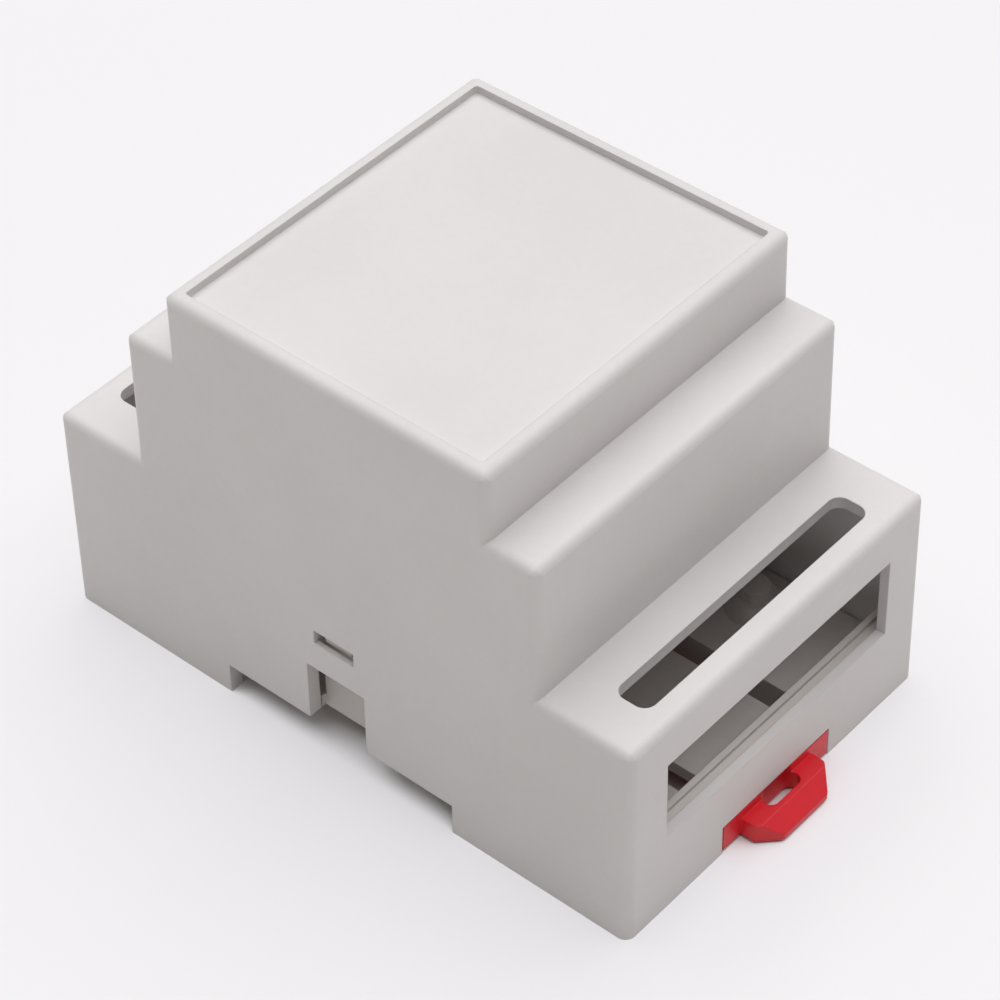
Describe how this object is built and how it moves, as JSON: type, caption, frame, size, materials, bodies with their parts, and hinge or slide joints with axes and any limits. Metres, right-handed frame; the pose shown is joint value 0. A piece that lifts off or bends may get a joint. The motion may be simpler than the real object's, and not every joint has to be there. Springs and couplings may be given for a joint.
{
  "type": "rail mount enclosure",
  "caption": "Stepped light grey plastic box that clips on a mounting rail, with screwdriver and wire slots at both ends, a sunk label field and a sliding red rail clip.",
  "frame": {"origin": "middle of the rail channel, on the plane of the feet", "axes": "+X along the rail, +Y along the box from the clip end to the far end, +Z from the feet to the nose"},
  "size_m": [0.055, 0.0925, 0.059],
  "materials": {
    "cover_plastic": "fine matt moulded texture",
    "base_plastic": "matt moulded",
    "clip_plastic": "smooth moulded"
  },
  "bodies": {
    "base": {"base": "base_plastic"},
    "cover": {"cover": "cover_plastic"},
    "clip": {"rail_clip": "clip_plastic"}
  },
  "joints": [
    {"name": "clip_slide", "type": "slide", "parent": "base", "child": "clip", "axis": [0, -1, 0], "range_m": [0, 0.0035]},
    {"name": "cover_lift", "type": "slide", "parent": "base", "child": "cover", "axis": [0, 0, 1], "range_m": [0, 0.04]}
  ]
}
